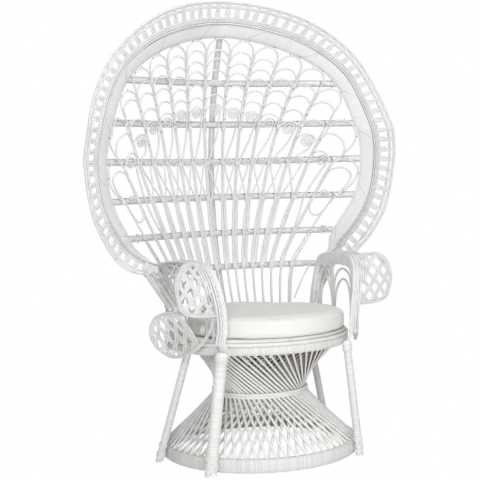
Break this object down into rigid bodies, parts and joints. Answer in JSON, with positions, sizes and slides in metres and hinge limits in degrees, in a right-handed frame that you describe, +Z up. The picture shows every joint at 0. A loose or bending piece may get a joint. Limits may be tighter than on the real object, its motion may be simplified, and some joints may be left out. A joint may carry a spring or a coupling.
{
  "type": "peacock chair",
  "caption": "White rattan peacock chair: hourglass cane base, round seat with a loose round cushion, rolled lattice arms and a tall dished fan back in a lace rim.",
  "frame": {"origin": "on the floor under the middle of the chair's bounding box", "axes": "+Z up, the chair faces -Y, +X is the right of someone who looks at its front"},
  "size_m": [1.1198, 0.6716, 1.5],
  "materials": {
    "painted_cane": "white satin paint on round rattan cane",
    "wound_peel": "white satin paint over close windings of flat rattan peel",
    "rim_band": "white satin paint on flat wound band and woven lace",
    "cushion_cover": "plain matt off-white woven cover"
  },
  "bodies": {
    "chair": {"arm_arch_left": "rim_band", "arm_arch_right": "rim_band", "arm_hoop_left": "painted_cane", "arm_hoop_right": "painted_cane", "arm_net_left": "painted_cane", "arm_net_right": "painted_cane", "arm_panel_left": "painted_cane", "arm_panel_right": "painted_cane", "arm_scroll_left": "painted_cane", "arm_scroll_right": "painted_cane", "arm_strut_1_left": "wound_peel", "arm_strut_1_right": "wound_peel", "arm_strut_2_left": "wound_peel", "arm_strut_2_right": "wound_peel", "arm_strut_3_left": "wound_peel", "arm_strut_3_right": "wound_peel", "base_canes_inner": "painted_cane", "base_canes_outer": "painted_cane", "foot_ring": "wound_peel", "leg_front_left": "wound_peel", "leg_front_right": "wound_peel", "leg_rear_left": "wound_peel", "leg_rear_right": "wound_peel", "rail_1": "wound_peel", "rail_2": "wound_peel", "rail_3": "wound_peel", "rail_4": "wound_peel", "rail_5": "wound_peel", "rail_6": "wound_peel", "rib_left_1": "painted_cane", "rib_left_2": "painted_cane", "rib_left_3": "painted_cane", "rib_left_4": "painted_cane", "rib_left_5": "painted_cane", "rib_left_6": "painted_cane", "rib_left_7": "painted_cane", "rib_left_8": "painted_cane", "rib_right_1": "painted_cane", "rib_right_2": "painted_cane", "rib_right_3": "painted_cane", "rib_right_4": "painted_cane", "rib_right_5": "painted_cane", "rib_right_6": "painted_cane", "rib_right_7": "painted_cane", "rib_right_8": "painted_cane", "rim_band": "rim_band", "rim_hoop": "rim_band", "rim_lace": "rim_band", "seat_bead": "painted_cane", "seat_deck": "painted_cane", "seat_ring": "wound_peel", "spine_post": "wound_peel", "waist_hoop": "painted_cane", "waist_hoop_inner": "painted_cane"},
    "cushion": {"cushion": "cushion_cover"}
  },
  "joints": [
    {"name": "cushion_lift", "type": "slide", "parent": "chair", "child": "cushion", "axis": [0, 0, 1], "range_m": [0, 0.25]}
  ]
}
